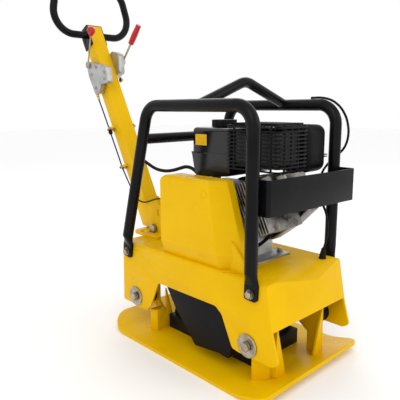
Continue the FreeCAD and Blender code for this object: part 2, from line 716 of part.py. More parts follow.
# ---------------------------------------------------------------------------------------------
# Engine
# ---------------------------------------------------------------------------------------------
def crankcase():
    """The case on its wide foot, with the clutch side's round cover and boss."""
    top = size("bed_top")
    z = top + 6
    x, crank = size("crank_x"), size("crank_z")
    foot = block(-118, 182, -92, 98, top, z)
    body = side_plate([(-96, z), (132, z), (132, z + 30, 8), (104, z + 96, 30), (104, 520, 26),
                       (-96, 520, 34)], -78, 74)
    cover = cylinder_y(x, crank, 88, -90, -78)
    boss = cylinder_y(x, crank, 34, -99, -90)
    hollow = side_plate([(-86, z + 12), (94, z + 12), (94, 508, 20), (-86, 508, 28)], -68, 64)
    bore = cylinder_y(x, crank, size("crank_r") + 0.05, -100, 75)
    case = body.fuse([cover, boss, foot]).cut(hollow).cut(bore)
    for spot in ENGINE_BOLTS:
        case = case.cut(Part.makeCylinder(5, 6, Vector(spot[0], spot[1], top)))
    feature("crankcase", case)


ENGINE_BOLTS = [(-106, -84), (-106, 88), (150, -84), (150, 88)]


def bore_frame():
    """Places a piece built along +Z on the inclined cylinder's axis."""
    return Placement(Vector(size("crank_x"), 0, size("crank_z")),
                     Rotation(Y_AXIS, 90 - size("bore_lean")))


def cylinder_block():
    """The finned cylinder, a stack of cooling fins round the bore."""
    fins = [block(-52, 106, -92, 60, 112 + k * 10, 112 + k * 10 + 4) for k in range(9)]
    core = block(-46, 46, -50, 46, 106, 200)
    feature("cylinder_block", core.fuse(fins), at=bore_frame())


def blower_shroud():
    """The sheet duct that leads the flywheel's air round the cylinder's far side."""
    x, z = size("crank_x"), size("crank_z")
    outline = [(x + 68, z - 94, 6), (x + 96, z - 90, 10), (206, z - 28, 14), (262, z + 28, 14),
               (262, z + 56, 14), (236, z + 118, 14), (x + 40, z + 112, 10)]
    inside = [(x + 72, z - 90, 4), (x + 95, z - 86.5, 8), (204, z - 25, 11), (259, z + 30, 11),
              (259, z + 56, 11), (234, z + 115, 11), (x + 20, z + 109, 8)]
    shell = side_plate(outline, 66, 124).cut(side_plate(inside, 60, 121))
    case_notch = block(x + 20, 136, 60, 75, z - 110, z - 20)
    feature("blower_shroud", shell.cut(cylinder_y(x, z, 102.3, 60, 140)).cut(case_notch))


def cylinder_head():
    head = soft_block(-46, 60, -66, 60, 200, 236, 6)
    cover = soft_block(-38, 44, -50, 48, 236, 270, 8)
    feature("cylinder_head", head, cover, at=bore_frame())


def spark_plug():
    """The rubber boot on the plug, in the head's near side."""
    boot = Part.makeCylinder(12, 26, Vector(20, -104, 218), Y_AXIS)
    core = Part.makeCylinder(8, 12, Vector(20, -78, 218), Y_AXIS)
    feature("spark_plug_boot", boot.fuse(core), at=bore_frame())


def muffler():
    shell = soft_block(88, 246, -60, 44, 586, 690, 14)
    feature("muffler", shell.cut(soft_block(90, 244, -58, 42, 588, 688, 12)))


def muffler_guard():
    """A ribbed black sheet cover with slots, open below."""
    outer = block(72, 264, -80, 60, 574, 708)
    corners = [edge for edge in outer.Edges if min(v.Z for v in edge.Vertexes) < 600
               and max(v.Z for v in edge.Vertexes) > 700]
    rim = [edge for edge in outer.Edges if min(v.Z for v in edge.Vertexes) > 700]
    outer = outer.makeFillet(9, corners + rim)
    shell = outer.cut(block(75, 261, -77, 57, 570, 705))
    slots = []
    for k in range(9):
        slots.append(block(96, 240, -82, -74, 592 + k * 11, 592 + k * 11 + 4))
    for k in range(7):
        slots.append(block(258, 268, -60, 44, 600 + k * 13, 600 + k * 13 + 5))
    for k in range(11):
        slots.append(block(96, 240, -66 + k * 11, -66 + k * 11 + 4, 700, 712))
    feature("muffler_guard", shell.cut(Part.makeCompound(slots)))


def air_cleaner():
    shell = soft_block(116, 256, 64, 168, 562, 700, 22)
    feature("air_cleaner", shell.cut(soft_block(120, 252, 68, 164, 566, 696, 18)))


def carburettor():
    body = block(136, 186, 126, 162, 500, 562)
    bowl = Part.makeCylinder(17, 26, Vector(161, 144, 475))
    feature("carburettor", body.fuse(bowl))


def fuel_tank():
    """Two pressed halves joined at a seam flange; a filler neck stands on top."""
    upper = block(-98, 66, -54, 150, 612, 690)
    lower = side_plate([(-98, 612), (66, 612), (66, 548, 12), (-80, 534, 30)], -54, 150)
    rounded = [edge for edge in upper.Edges if min(v.Z for v in edge.Vertexes) > 650
               or (min(v.Z for v in edge.Vertexes) < 640 and max(v.Z for v in edge.Vertexes) > 650)]
    upper = upper.makeFillet(14, rounded)
    flange = plan_plate([(-103, -59, 16), (71, -59, 16), (71, 155, 16), (-103, 155, 16)], 610, 614)
    hollow = block(-92, 60, -48, 144, 560, 684)
    neck = Part.makeCylinder(27, 12, Vector(-14, 8, 686))
    inside = Part.makeCylinder(24, 20, Vector(-14, 8, 680))
    feature("fuel_tank", upper.fuse([lower, flange, neck]).cut(hollow.fuse(inside)))


def fuel_cap():
    cap = Part.makeCylinder(39, 22, Vector(-14, 8, 691))
    cap = cap.makeFillet(4, [edge for edge in cap.Edges if edge.BoundBox.ZMin > 712])
    cap = cap.cut(Part.makeCylinder(27.3, 8, Vector(-14, 8, 690.8)))
    grips = []
    for k in range(18):
        turn = k * math.pi / 9
        spot = Vector(-14 + 40.5 * math.cos(turn), 8 + 40.5 * math.sin(turn), 696)
        grips.append(Part.makeCylinder(3.2, 20, spot))
    feature("fuel_cap", cap.cut(Part.makeCompound(grips)))


def recoil_cover():
    x, z = size("crank_x"), size("crank_z")
    shell = ring_y(x, z, 102, 97, 76, 128)
    face = cylinder_y(x, z, 102, 128, 133)
    vents = []
    for k in range(12):
        turn = k * math.pi / 6
        vents.append(cylinder_y(x + 66 * math.cos(turn), z + 66 * math.sin(turn), 11, 127, 134))
    drum = cylinder_y(x, z, 42, 133, 150)
    outlet = block(x - 14, x + 14, 133, 150, z + 34, z + 92)
    feature("recoil_cover", shell.fuse([face, drum, outlet]).cut(Part.makeCompound(vents)))


def recoil_grip():
    x, z = size("crank_x"), size("crank_z") + 78
    grip = Part.makeCylinder(8, 70, Vector(x - 35, 164, z), X_AXIS)
    grip = grip.makeFillet(5, grip.Edges)
    stem = cylinder_y(x, z, 5, 150.5, 165)
    feature("recoil_grip", grip.fuse(stem))


def crank_group():
    x, z = size("crank_x"), size("crank_z")
    feature("crankshaft", cylinder_y(x, z, size("crank_r"), -158, 118))
    feature("flywheel", ring_y(x, z, 88, size("crank_r"), 84, 108))
    feature("clutch_pulley", pulley(x, z, size("crank_r")))


def oil_plug():
    feature("oil_plug", Part.makeCylinder(15, 16, Vector(132, -52, 338), X_AXIS))


def engine_bolts():
    """The engine's four foot bolts and the guard's one bolt, screwed down on the deck."""
    top = size("bed_top")
    bolts = [bolt(Vector(x, y, top + 6), 14, 8, 5, 6, Z_AXIS) for x, y in ENGINE_BOLTS]
    bolts.append(bolt(Vector(GUARD_BOLT[0], GUARD_BOLT[1], top + 5), 16, 7, 4.5, 5, Z_AXIS))
    feature("engine_bolts", *bolts)


# ---------------------------------------------------------------------------------------------
# Mast: a box tube on a pivot at the bed's rear, leaning back
# ---------------------------------------------------------------------------------------------
def mast_frame():
    """Upright pieces built round the pivot lean back with this placement."""
    return Placement(Vector(size("pivot_x"), 0, size("pivot_z")), Rotation(Y_AXIS, -size("lean")))


def mast():
    half, back, deep = size("mast_half"), size("mast_back"), size("mast_depth")
    top = size("mast_top")
    rear = -back - deep
    outer = block(rear, -back, -half, half, -6, top)
    inner = block(rear + 4, -back - 4, -half + 4, half - 4, -30, top + 10)
    plates = []
    for side in (NEAR, FAR):
        low = min(side * half, side * (half + 6))
        plate = side_plate([(rear, 6), (rear, 112, 10), (-back, 128, 10), (17, 10, 8),
                            (17, -17, 16), (-17, -17, 16)], low, low + 6)
        plates.append(plate.cut(cylinder_y(0, 0, 10.1, low, low + 6)))
    shape = outer.cut(inner).fuse(plates)
    shape.Placement = mast_frame()
    hose_way = Part.makeCylinder(10, 60, Vector(-487, 12.5, 571.4), Vector(37, 0.5, -13.4))
    floor = block(-440, -250, -60, 60, 240, size("stop_z"))
    eye = cylinder_y(size("pivot_x"), size("pivot_z"), 18, -60, 60)
    feature("mast", shape.cut(floor.cut(eye)).cut(hose_way))


def mast_bracket():
    """Two cheeks on a foot plate; the mast's pivot bolt passes through them."""
    top = size("bed_top")
    plate = plan_plate([(-384, -92, 34), (-236, -92, 8), (-236, 92, 8), (-384, 92, 34)],
                       top, top + 9)
    plate = plate.cut(Part.makeCylinder(9, 9, Vector(-338, -74, top)))
    plate = plate.cut(block(-332, -286, -36.9, 36.9, top, top + 9))
    plate = plate.cut(cylinder_y(size("pivot_x"), size("pivot_z"), 18.5, -62, 62))
    cheeks = []
    for side in (NEAR, FAR):
        low = min(side * 37, side * 45)
        cheek = side_plate([(-334, top + 9), (-250, top + 9), (-256, 392, 20), (-300, 436, 16),
                            (-346, 408, 12)], low, low + 8)
        hole = cylinder_y(size("pivot_x"), size("pivot_z"), 10.1, low - 1, low + 9)
        window = side_plate([(-290, 372, 3), (-282, 372, 3), (-282, 396, 3), (-290, 396, 3)],
                            low, low + 8)
        cheeks.append(cheek.cut(hole).cut(window))
    feature("mast_bracket", plate.fuse(cheeks))


def mast_bolt():
    x, z = size("pivot_x"), size("pivot_z")
    shank = cylinder_y(x, z, 10, -52, 52)
    head = hexagon(Vector(x, -45, z), 30, Y_AXIS * -1, 13)
    nut = hexagon(Vector(x, 45, z), 30, Y_AXIS, 15)
    feature("mast_bolt", shank.fuse([head, nut]))


def mast_stop():
    """A block on the foot plate that the leaning mast's trimmed foot rests on."""
    top = size("bed_top") + 9
    feature("mast_stop", block(-382, -350, -24, 24, top, size("stop_z") - 0.3))


def mast_cap():
    """A black folded strap that closes the mast's top and clamps the handle loop."""
    half, back, deep = size("mast_half"), size("mast_back"), size("mast_depth")
    top, rear = size("mast_top"), -size("mast_back") - size("mast_depth")
    outer = block(rear - 5, -back - 2, -half - 5, half + 5, top - 80, top + 5)
    inner = block(rear, -back + 10, -half, half, top - 90, top)
    feature("mast_cap", outer.cut(inner).cut(loop_bar(size("grip_r") + 0.02, True)),
            at=mast_frame())


LOOP_W, LOOP_U = 826, -42       # the loop's lower bar in the mast's own frame


def loop_points():
    """The closed handle loop in the YZ plane, a rounded trapezoid with its lower bar at z = 0."""
    return [(Vector(0, -186, 0), 78), (Vector(0, 186, 0), 78), (Vector(0, 142, 196), 74),
            (Vector(0, -142, 196), 74)]


def loop_bar(radius, in_mast_frame):
    bar = Part.makeCylinder(radius, 160, Vector(LOOP_U, -80, LOOP_W), Y_AXIS)
    if not in_mast_frame:
        bar.Placement = mast_frame()
    return bar


def handle_loop():
    centre = mast_frame().multVec(Vector(LOOP_U, 0, LOOP_W))
    points = loop_points()
    start = (Vector(0, 0, 0), 0)
    path = wire([start] + points[1:] + points[:1], True)
    profile = Part.Wire(Part.makeCircle(size("grip_r"), Vector(0, 0, 0), Y_AXIS))
    loop = path.makePipeShell([profile], True, True)
    feature("handle_loop", loop, at=Placement(centre, Rotation(Y_AXIS, -6)))


def cut_mast_for_loop():
    """The mast's top is drilled across for the loop's lower bar."""
    for piece in nodes:
        if piece.Label == "mast":
            piece.Shape = piece.Shape.cut(loop_bar(size("grip_r") + 0.02, False))


def housing(label, side, outline, deep):
    """A small die-cast lever box bolted to one side of the mast."""
    face = size("mast_half")
    low = min(side * face, side * (face + deep))
    solid = side_plate(outline, low, low + deep)
    feature(label, solid)


def controls():
    housing("throttle_box", NEAR, [(-706, 930, 8), (-640, 922, 6), (-566, 902, 6), (-556, 846, 6),
                                   (-604, 838, 4), (-622, 806, 6), (-648, 802, 6), (-690, 874, 8)], 27)
    housing("direction_box", FAR, [(-700, 936, 20), (-655, 972, 18), (-606, 958, 16),
                                   (-604, 884, 12), (-660, 862, 12)], 27)
    near_y, far_y = -(size("mast_half") + 27.3), size("mast_half") + 27.3
    lever("throttle_lever", (-684, 916), (-655, 1028), near_y, near_y - 6)
    knob = Part.makeSphere(16, Vector(-651, near_y - 3, 1040))
    stub = doc.getObject("throttle_lever").Shape
    feature("throttle_knob", knob.cut(stub))
    lever("direction_lever", (-622, 930), (-545, 1018), far_y, far_y + 8)
    start, stop = Vector(-566, far_y + 4, 994), Vector(-512, far_y + 4, 1056)
    grip = Part.makeCylinder(11.5, start.distanceToPoint(stop), start, stop - start)
    grip = grip.makeFillet(4, [edge for edge in grip.Edges if len(edge.Vertexes) == 1])
    feature("direction_grip", grip.cut(doc.getObject("direction_lever").Shape))


def lever(label, hub, tip, y_low, y_high):
    """A flat hub disc with a round stem, at hub and tip in X and Z."""
    low, high = min(y_low, y_high), max(y_low, y_high)
    middle = (low + high) / 2
    disc = cylinder_y(hub[0], hub[1], 13, low, high)
    start, stop = Vector(hub[0], middle, hub[1]), Vector(tip[0], middle, tip[1])
    stem = Part.makeCylinder((high - low) / 2 - 0.01, start.distanceToPoint(stop), start,
                             stop - start)
    feature(label, disc.fuse(stem))


# ---------------------------------------------------------------------------------------------
# Cables and the control hose: straight runs joined by tangent arcs, along their whole route
# ---------------------------------------------------------------------------------------------
def route(label, knots, radius):
    """A solid cord through the knots; each arc takes 0.45 of the shorter run next to it."""
    spots = [Vector(*knot) for knot in knots]
    points, radii = [(spots[0], 0)], []
    for before, here, after in zip(spots, spots[1:], spots[2:]):
        back, ahead = before - here, after - here
        half_turn = (math.pi - back.getAngle(ahead)) / 2
        bend = 0.45 * min(back.Length, ahead.Length) / math.tan(half_turn)
        points.append((here, bend))
        radii.append(bend)
    points.append((spots[-1], 0))
    runs = [a.distanceToPoint(b) for a, b in zip(spots, spots[1:])]
    print("%s: radii %s mm, at least %.0f; longest run %.0f; length %.0f" % (
        label, " ".join("%.0f" % r for r in radii), 10 * radius, max(runs), sum(runs)))
    feature(label, sweep(points, radius))


def cables():
    top = size("bed_top")
    route("throttle_cable", [(-641, -50, 801), (-630, -50, 778), (-606, -50, 738), (-577, -50, 687),
                             (-548, -50, 634), (-518, -50, 581), (-489, -50, 527),
                             (-461, -50, 489), (-434, -50, 452)], 2.5)
    route("throttle_cable_tail", [(-434, -50, 451), (-410, -50, 424), (-378, -52, 412),
                                  (-345, -54, 414), (-314, -57, 424), (-284, -62, 434),
                                  (-252, -66, 442), (-216, -68, 446), (-180, -68, 448),
                                  (-142, -66, 448), (-96.5, -64, 448)], 2.5)
    route("control_hose", [(-486, 12, 571), (-450, 13, 558), (-412, 14, 543), (-374, 11, 531),
                           (-334, 7, 526), (-292, 4, 527), (-252, 3, 534), (-215, 3, 545),
                           (-186, 3, 553), (-150, 3, 548), (-120, 3, 524.6), (-104.6, 3, 490),
                           (-104.6, 3, 450), (-110, 3, 406), (-122, 3, 366), (-130, 3, 332),
                           (-131, 3, 303.3)], 6)
    route("front_cable", [(180, 187, 777.2), (216, 189, 778), (250, 192, 770), (278, 196, 748),
                          (295, 200, 718), (301, 204, 684), (297, 208, 654), (284, 213, 628),
                          (262, 213, 606), (242, 205, 586), (232, 189, 564), (233, 168, 540),
                          (241, 147, 516), (256, 132, 492), (275, 122, 470), (292, 116, 446),
                          (300, 113, 416), (300, 114, 386), (292, 119, 358), (282.4, 126, 337)], 3.5)
    base, head = Vector(276, 130, top), Vector(282, 126, 336)
    boot = Part.makeCone(11, 6.5, base.distanceToPoint(head), base, head - base)
    feature("cable_boot", boot.cut(block(250, 300, 100, 160, top - 9, top)))
    clips = [block(-74, -60, -47.4, -size("mast_half"), w, w + 14) for w in (262, 420)]
    feature("cable_clips", Part.makeCompound(clips), at=mast_frame())


# ---------------------------------------------------------------------------------------------
# Build
# ---------------------------------------------------------------------------------------------
base_plate()
plate_uprights()
exciter_housing()
exciter_covers()
exciter_bearings()
exciter_shaft("drive", size("drive_x"), -158)
exciter_shaft("idler", size("idler_x"), size("exciter_near") + 0.5)
exciter_weight("drive", size("drive_x"))
exciter_weight("idler", size("idler_x"))
exciter_gears()
feature("exciter_pulley", pulley(size("drive_x"), size("exciter_z"), size("shaft_r")))
rubber_mounts()
engine_bed()
mount_bolts()
hoop("near_hoop", NEAR)
hoop("far_hoop", FAR)
hoop_bolts()
rear_cross_bar()
lifting_bar()
front_plate()
belt_guard()
lower_belt_cover()
v_belt()
crankcase()
cylinder_block()
blower_shroud()
cylinder_head()
spark_plug()
muffler()
muffler_guard()
air_cleaner()
carburettor()
fuel_tank()
fuel_cap()
recoil_cover()
recoil_grip()
crank_group()
oil_plug()
engine_bolts()
mast()
mast_bracket()
mast_bolt()
mast_stop()
handle_loop()
mast_cap()
cut_mast_for_loop()
controls()
cables()

doc.recompute()
failed = [item.Name for item in doc.Objects if "Invalid" in item.State or "Error" in item.State]
for piece in nodes:
    if piece.Shape.isNull() or not piece.Shape.isValid():
        failed.append(piece.Label)
if failed:
    raise RuntimeError("failed: " + ", ".join(failed))

os.makedirs("parts", exist_ok=True)
for piece in nodes:
    piece.Shape.exportStep(os.path.join("parts", piece.Label + ".step"))
    print("%-18s %9.1f cm3  solids %d" % (piece.Label, piece.Shape.Volume / 1000,
                                          len(piece.Shape.Solids)))
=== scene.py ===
import math
import random

import bpy
from mathutils import Matrix, Vector


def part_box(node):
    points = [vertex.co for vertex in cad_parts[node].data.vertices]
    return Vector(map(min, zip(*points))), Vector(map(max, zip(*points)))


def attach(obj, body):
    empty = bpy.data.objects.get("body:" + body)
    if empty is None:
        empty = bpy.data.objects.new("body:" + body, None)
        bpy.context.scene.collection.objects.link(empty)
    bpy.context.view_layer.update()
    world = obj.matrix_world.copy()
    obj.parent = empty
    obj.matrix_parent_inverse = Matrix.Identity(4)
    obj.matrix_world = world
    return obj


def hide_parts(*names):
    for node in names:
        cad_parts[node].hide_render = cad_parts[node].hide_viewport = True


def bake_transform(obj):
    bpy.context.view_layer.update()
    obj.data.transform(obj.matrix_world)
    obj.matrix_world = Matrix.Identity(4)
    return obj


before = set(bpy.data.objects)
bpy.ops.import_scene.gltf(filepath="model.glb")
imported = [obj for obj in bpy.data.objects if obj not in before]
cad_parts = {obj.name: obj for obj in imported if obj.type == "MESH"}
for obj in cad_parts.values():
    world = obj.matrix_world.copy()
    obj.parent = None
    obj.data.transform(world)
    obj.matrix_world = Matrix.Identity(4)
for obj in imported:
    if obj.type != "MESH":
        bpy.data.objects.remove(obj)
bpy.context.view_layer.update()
bpy.ops.object.select_all(action="DESELECT")


# ---------------------------------------------------------------------------------------------
# Camera, light and floor: a low three-quarter view from ahead and to the machine's right,
# under a soft bright studio sky, on a plain pale floor.
# ---------------------------------------------------------------------------------------------
bpy.ops.object.camera_add(location=(1.0449, -1.1100, 0.7515),
                          rotation=(math.radians(79.8), math.radians(0.3), math.radians(46.4)))
camera = bpy.context.object
camera.data.lens = 44.1
camera.data.sensor_width = 36
camera.data.shift_x = 0.003
camera.data.shift_y = -0.012
camera.data.clip_end = 50
bpy.context.scene.camera = camera
bpy.context.scene.view_settings.view_transform = "Standard"

studio = bpy.data.worlds.new("studio")
studio.use_nodes = True
studio.node_tree.nodes["Background"].inputs["Color"].default_value = (1.0, 1.0, 1.0, 1)
studio.node_tree.nodes["Background"].inputs["Strength"].default_value = 1.0
bpy.context.scene.world = studio

for name, place, aim, power, wide in (
        ("key_light", (1.6, -2.6, 3.2), (0, 0, 0.4), 26, 2.2),
        ("front_light", (3.0, 1.4, 2.0), (0, 0, 0.5), 15, 1.8),
        ("rim_light", (-2.4, 2.0, 2.8), (0, 0, 0.6), 12, 1.6)):
    bpy.ops.object.light_add(type="AREA", location=place)
    lamp = bpy.context.object
    lamp.name = name
    lamp.data.energy = power
    lamp.data.size = wide
    lamp.rotation_euler = (Vector(aim) - Vector(place)).to_track_quat("-Z", "Y").to_euler()

bpy.ops.mesh.primitive_plane_add(size=30, location=(0, 0, -0.0005))
floor = bpy.context.object
floor.name = "studio_floor"
floor_finish = bpy.data.materials.new("pale_floor")
floor_finish.use_nodes = True
floor_shader = floor_finish.node_tree.nodes["Principled BSDF"]
floor_shader.inputs["Base Color"].default_value = (0.97, 0.97, 0.97, 1)
floor_shader.inputs["Roughness"].default_value = 0.85
floor.data.materials.append(floor_finish)


# ---------------------------------------------------------------------------------------------
# Yellow steelwork: the plate, its uprights, the bed, the mast and its bracket are folded and
# welded steel under gloss yellow paint. Each takes its CAD shape with the edges eased.
# ---------------------------------------------------------------------------------------------
def coated(name, light, dark, rough, metallic=0.0, clouds=7.0, grain=220.0, relief=0.08,
           clear_coat=0.0, speckle=0.0, shine=0.22):
    """A finish with cloudy colour, uneven gloss and a fine raised grain, all in Object space."""
    finish = bpy.data.materials.new(name)
    finish.use_nodes = True
    tree = finish.node_tree
    shader = tree.nodes["Principled BSDF"]
    shader.inputs["Metallic"].default_value = metallic
    shader.inputs["Specular IOR Level"].default_value = shine
    shader.inputs["Coat Weight"].default_value = clear_coat
    shader.inputs["Coat Roughness"].default_value = 0.10
    place = tree.nodes.new("ShaderNodeTexCoord")
    cloud = tree.nodes.new("ShaderNodeTexNoise")
    cloud.inputs["Scale"].default_value = clouds
    cloud.inputs["Detail"].default_value = 8
    cloud.inputs["Roughness"].default_value = 0.62
    tint = tree.nodes.new("ShaderNodeValToRGB")
    tint.color_ramp.elements[0].position = 0.36
    tint.color_ramp.elements[0].color = (*dark, 1)
    tint.color_ramp.elements[1].position = 0.62
    tint.color_ramp.elements[1].color = (*light, 1)
    fine = tree.nodes.new("ShaderNodeTexNoise")
    fine.inputs["Scale"].default_value = grain
    fine.inputs["Detail"].default_value = 3
    gloss = tree.nodes.new("ShaderNodeMapRange")
    gloss.inputs["From Min"].default_value = 0.3
    gloss.inputs["From Max"].default_value = 0.7
    gloss.inputs["To Min"].default_value = max(rough - 0.08, 0.02)
    gloss.inputs["To Max"].default_value = rough + 0.10
    raised = tree.nodes.new("ShaderNodeBump")
    raised.inputs["Strength"].default_value = relief
    raised.inputs["Distance"].default_value = 0.001
    tree.links.new(place.outputs["Object"], cloud.inputs["Vector"])
    tree.links.new(place.outputs["Object"], fine.inputs["Vector"])
    tree.links.new(cloud.outputs["Fac"], tint.inputs["Fac"])
    tree.links.new(cloud.outputs["Fac"], gloss.inputs["Value"])
    tree.links.new(fine.outputs["Fac"], raised.inputs["Height"])
    tree.links.new(gloss.outputs["Result"], shader.inputs["Roughness"])
    tree.links.new(raised.outputs["Normal"], shader.inputs["Normal"])
    colour = tint.outputs["Color"]
    if speckle > 0:
        marks = tree.nodes.new("ShaderNodeTexVoronoi")
        marks.inputs["Scale"].default_value = 95
        tree.links.new(place.outputs["Object"], marks.inputs["Vector"])
        worn = tree.nodes.new("ShaderNodeMapRange")
        worn.inputs["From Min"].default_value = 0.03
        worn.inputs["From Max"].default_value = 0.09
        worn.inputs["To Min"].default_value = speckle
        worn.inputs["To Max"].default_value = 0.0
        tree.links.new(marks.outputs["Distance"], worn.inputs["Value"])
        blend = tree.nodes.new("ShaderNodeMixRGB")
        blend.inputs["Color2"].default_value = (light[0] * 0.5 + 0.08, light[1] * 0.5 + 0.08,
                                                light[2] * 0.5 + 0.08, 1)
        tree.links.new(worn.outputs["Result"], blend.inputs["Fac"])
        tree.links.new(colour, blend.inputs["Color1"])
        colour = blend.outputs["Color"]
    tree.links.new(colour, shader.inputs["Base Color"])
    return finish


def dress(node, finish):
    """Gives a CAD node its finish."""
    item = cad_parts[node]
    item.data.materials.clear()
    item.data.materials.append(finish)


def pick(piece):
    """Makes one piece the only selected and active object."""
    bpy.ops.object.select_all(action="DESELECT")
    piece.select_set(True)
    bpy.context.view_layer.objects.active = piece


def hand_over(piece, name, finish, body, slot, *nodes, smooth=32):
    """Names a finished piece, sets its place in its mesh, and lets it ride on its body."""
    pick(piece)
    bpy.ops.object.transform_apply(location=True, rotation=True, scale=True)
    piece.name = name
    piece.data.materials.clear()
    piece.data.materials.append(finish)
    bpy.ops.object.shade_smooth_by_angle(angle=math.radians(smooth))
    if body is not None:
        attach(piece, body)
    if nodes:
        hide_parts(*nodes)
    return piece


def rounded(piece, width, segments=2, turn=30, limit="ANGLE"):
    """Rounds a piece's sharp edges over by width, in metres."""
    pick(piece)
    rim = piece.modifiers.new("rim", "BEVEL")
    rim.width = width
    rim.segments = segments
    rim.limit_method = limit
    rim.angle_limit = math.radians(turn)
    bpy.ops.object.modifier_apply(modifier="rim")


def choose_faces(piece, wanted):
    """Goes into edit mode with only the wanted faces of a piece selected."""
    pick(piece)
    bpy.ops.object.mode_set(mode="EDIT")
    bpy.ops.mesh.select_mode(type="FACE")
    bpy.ops.mesh.select_all(action="DESELECT")
    bpy.ops.object.mode_set(mode="OBJECT")
    for face in piece.data.polygons:
        face.select = wanted(face)
    bpy.ops.object.mode_set(mode="EDIT")


def joined(pieces):
    """Joins several pieces into the first."""
    pick(pieces[0])
    for piece in pieces:
        piece.select_set(True)
    bpy.ops.object.join()
    return bpy.context.object


def eased(node, finish, width, slot, body, segments=2, turn=38):
    """A copy of a CAD node whose sharp edges are rounded over by width, in metres."""
    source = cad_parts[node]
    piece = bpy.data.objects.new(node + "_eased", source.data.copy())
    bpy.context.scene.collection.objects.link(piece)
    pick(piece)
    bpy.ops.object.mode_set(mode="EDIT")
    bpy.ops.mesh.select_all(action="SELECT")
    bpy.ops.mesh.remove_doubles(threshold=0.00001)
    bpy.ops.mesh.dissolve_limited(angle_limit=math.radians(0.6))
    bpy.ops.object.mode_set(mode="OBJECT")
    rim = piece.modifiers.new("rim", "BEVEL")
    rim.width = width
    rim.segments = segments
    rim.limit_method = "ANGLE"
    rim.angle_limit = math.radians(turn)
    rim.miter_outer = "MITER_ARC"
    bpy.ops.object.modifier_apply(modifier="rim")
    return hand_over(piece, node + "_eased", finish, body, slot, node)


yellow_gloss = coated("yellow_gloss", (0.80, 0.475, 0.0003), (0.75, 0.435, 0.0003), 0.30,
                      clouds=5.0, grain=140, relief=0.05, shine=0.08)
eased("base_plate", yellow_gloss, 0.0016, "yellow_paint", "base")
eased("plate_uprights", yellow_gloss, 0.0012, "yellow_paint", "base")
eased("engine_bed", yellow_gloss, 0.0012, "yellow_paint", "deck")
eased("mast", yellow_gloss, 0.0020, "yellow_paint", "mast")
eased("mast_bracket", yellow_gloss, 0.0012, "yellow_paint", "deck")
dress("belt_guard", yellow_gloss)


# ---------------------------------------------------------------------------------------------
# Belt guard's trim: a plain raised ring near its top corner, and the thin folded flange that
# closes the gap between its foot and the bed.
# ---------------------------------------------------------------------------------------------
bpy.ops.mesh.primitive_torus_add(major_radius=0.0110, minor_radius=0.0016, major_segments=40,
                                 minor_segments=10, location=(0.079, -0.1738, 0.512),
                                 rotation=(math.radians(90), 0, 0))
hand_over(bpy.context.object, "guard_ring", yellow_gloss, "deck", "yellow_paint", smooth=60)
bpy.ops.mesh.primitive_cube_add(size=1, location=(0.1645, -0.1503, 0.3040),
                                rotation=(0, 0, math.radians(34)))
flange = bpy.context.object
flange.scale = (0.050, 0.026, 0.0019)
bpy.ops.object.transform_apply(location=False, rotation=False, scale=True)
rounded(flange, 0.0006)
hand_over(flange, "guard_foot_flange", yellow_gloss, "deck", "yellow_paint")


# ---------------------------------------------------------------------------------------------
# Black steelwork: the two tube hoops, the cross bar, the lifting bar, the front plate, the mast's
# cap and the handle loop are tube and sheet under semi-gloss black powder coat.
# ---------------------------------------------------------------------------------------------
black_coat = coated("black_coat", (0.006, 0.006, 0.007), (0.003, 0.003, 0.004), 0.24,
                    clouds=9.0, grain=420, relief=0.10, speckle=0.03, shine=0.12)
for node in ("near_hoop", "far_hoop", "rear_cross_bar", "lifting_bar", "handle_loop"):
    dress(node, black_coat)
eased("front_plate", black_coat, 0.0010, "black_paint", "deck")
eased("mast_cap", black_coat, 0.0010, "black_paint", "mast")


# ---------------------------------------------------------------------------------------------
# Exciter: a painted cast-iron housing with ribs and end covers. The shafts, gears and bearings
# inside are machined steel, and the weights, pulleys and flywheel are grey iron.
# ---------------------------------------------------------------------------------------------
cast_black = coated("cast_black", (0.012, 0.012, 0.013), (0.006, 0.006, 0.007), 0.50,
                    clouds=18, grain=260, relief=0.35, shine=0.12)
machined = coated("machined_steel", (0.52, 0.52, 0.53), (0.36, 0.36, 0.37), 0.32, metallic=1.0,
                  clouds=30, grain=500, relief=0.04)
iron = coated("grey_iron", (0.12, 0.12, 0.12), (0.06, 0.06, 0.06), 0.55, metallic=0.7, clouds=22,
              grain=240, relief=0.3)
eased("exciter_housing", cast_black, 0.0025, "black_paint", "base")
eased("exciter_covers", cast_black, 0.0020, "black_paint", "base")
for node in ("exciter_bearings", "drive_shaft", "idler_shaft", "drive_gear", "idler_gear",
             "crankshaft"):
    dress(node, machined)
for node in ("drive_weight", "idler_weight", "exciter_pulley", "clutch_pulley", "flywheel"):
    dress(node, iron)


# ---------------------------------------------------------------------------------------------
# Moulded black parts: the lower belt cover, the stop block, the plugs and boots, and the V-belt,
# which rides on no body.
# ---------------------------------------------------------------------------------------------
moulded = coated("moulded_black", (0.008, 0.007, 0.008), (0.005, 0.004, 0.005), 0.42, clouds=12,
                 grain=520, relief=0.22, shine=0.10)
rubber = coated("black_rubber_skin", (0.011, 0.011, 0.011), (0.006, 0.006, 0.006), 0.62, clouds=25,
                grain=600, relief=0.25, shine=0.10)
eased("lower_belt_cover", moulded, 0.0020, "black_plastic", "deck", segments=3)
eased("mast_stop", rubber, 0.0030, "black_rubber", "deck")
belt = eased("v_belt", rubber, 0.0003, "black_rubber", None, segments=1)
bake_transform(belt)
for node in ("spark_plug_boot", "cable_boot", "throttle_cable", "front_cable"):
    dress(node, rubber)
dress("recoil_grip", moulded)
dress("oil_plug", moulded)


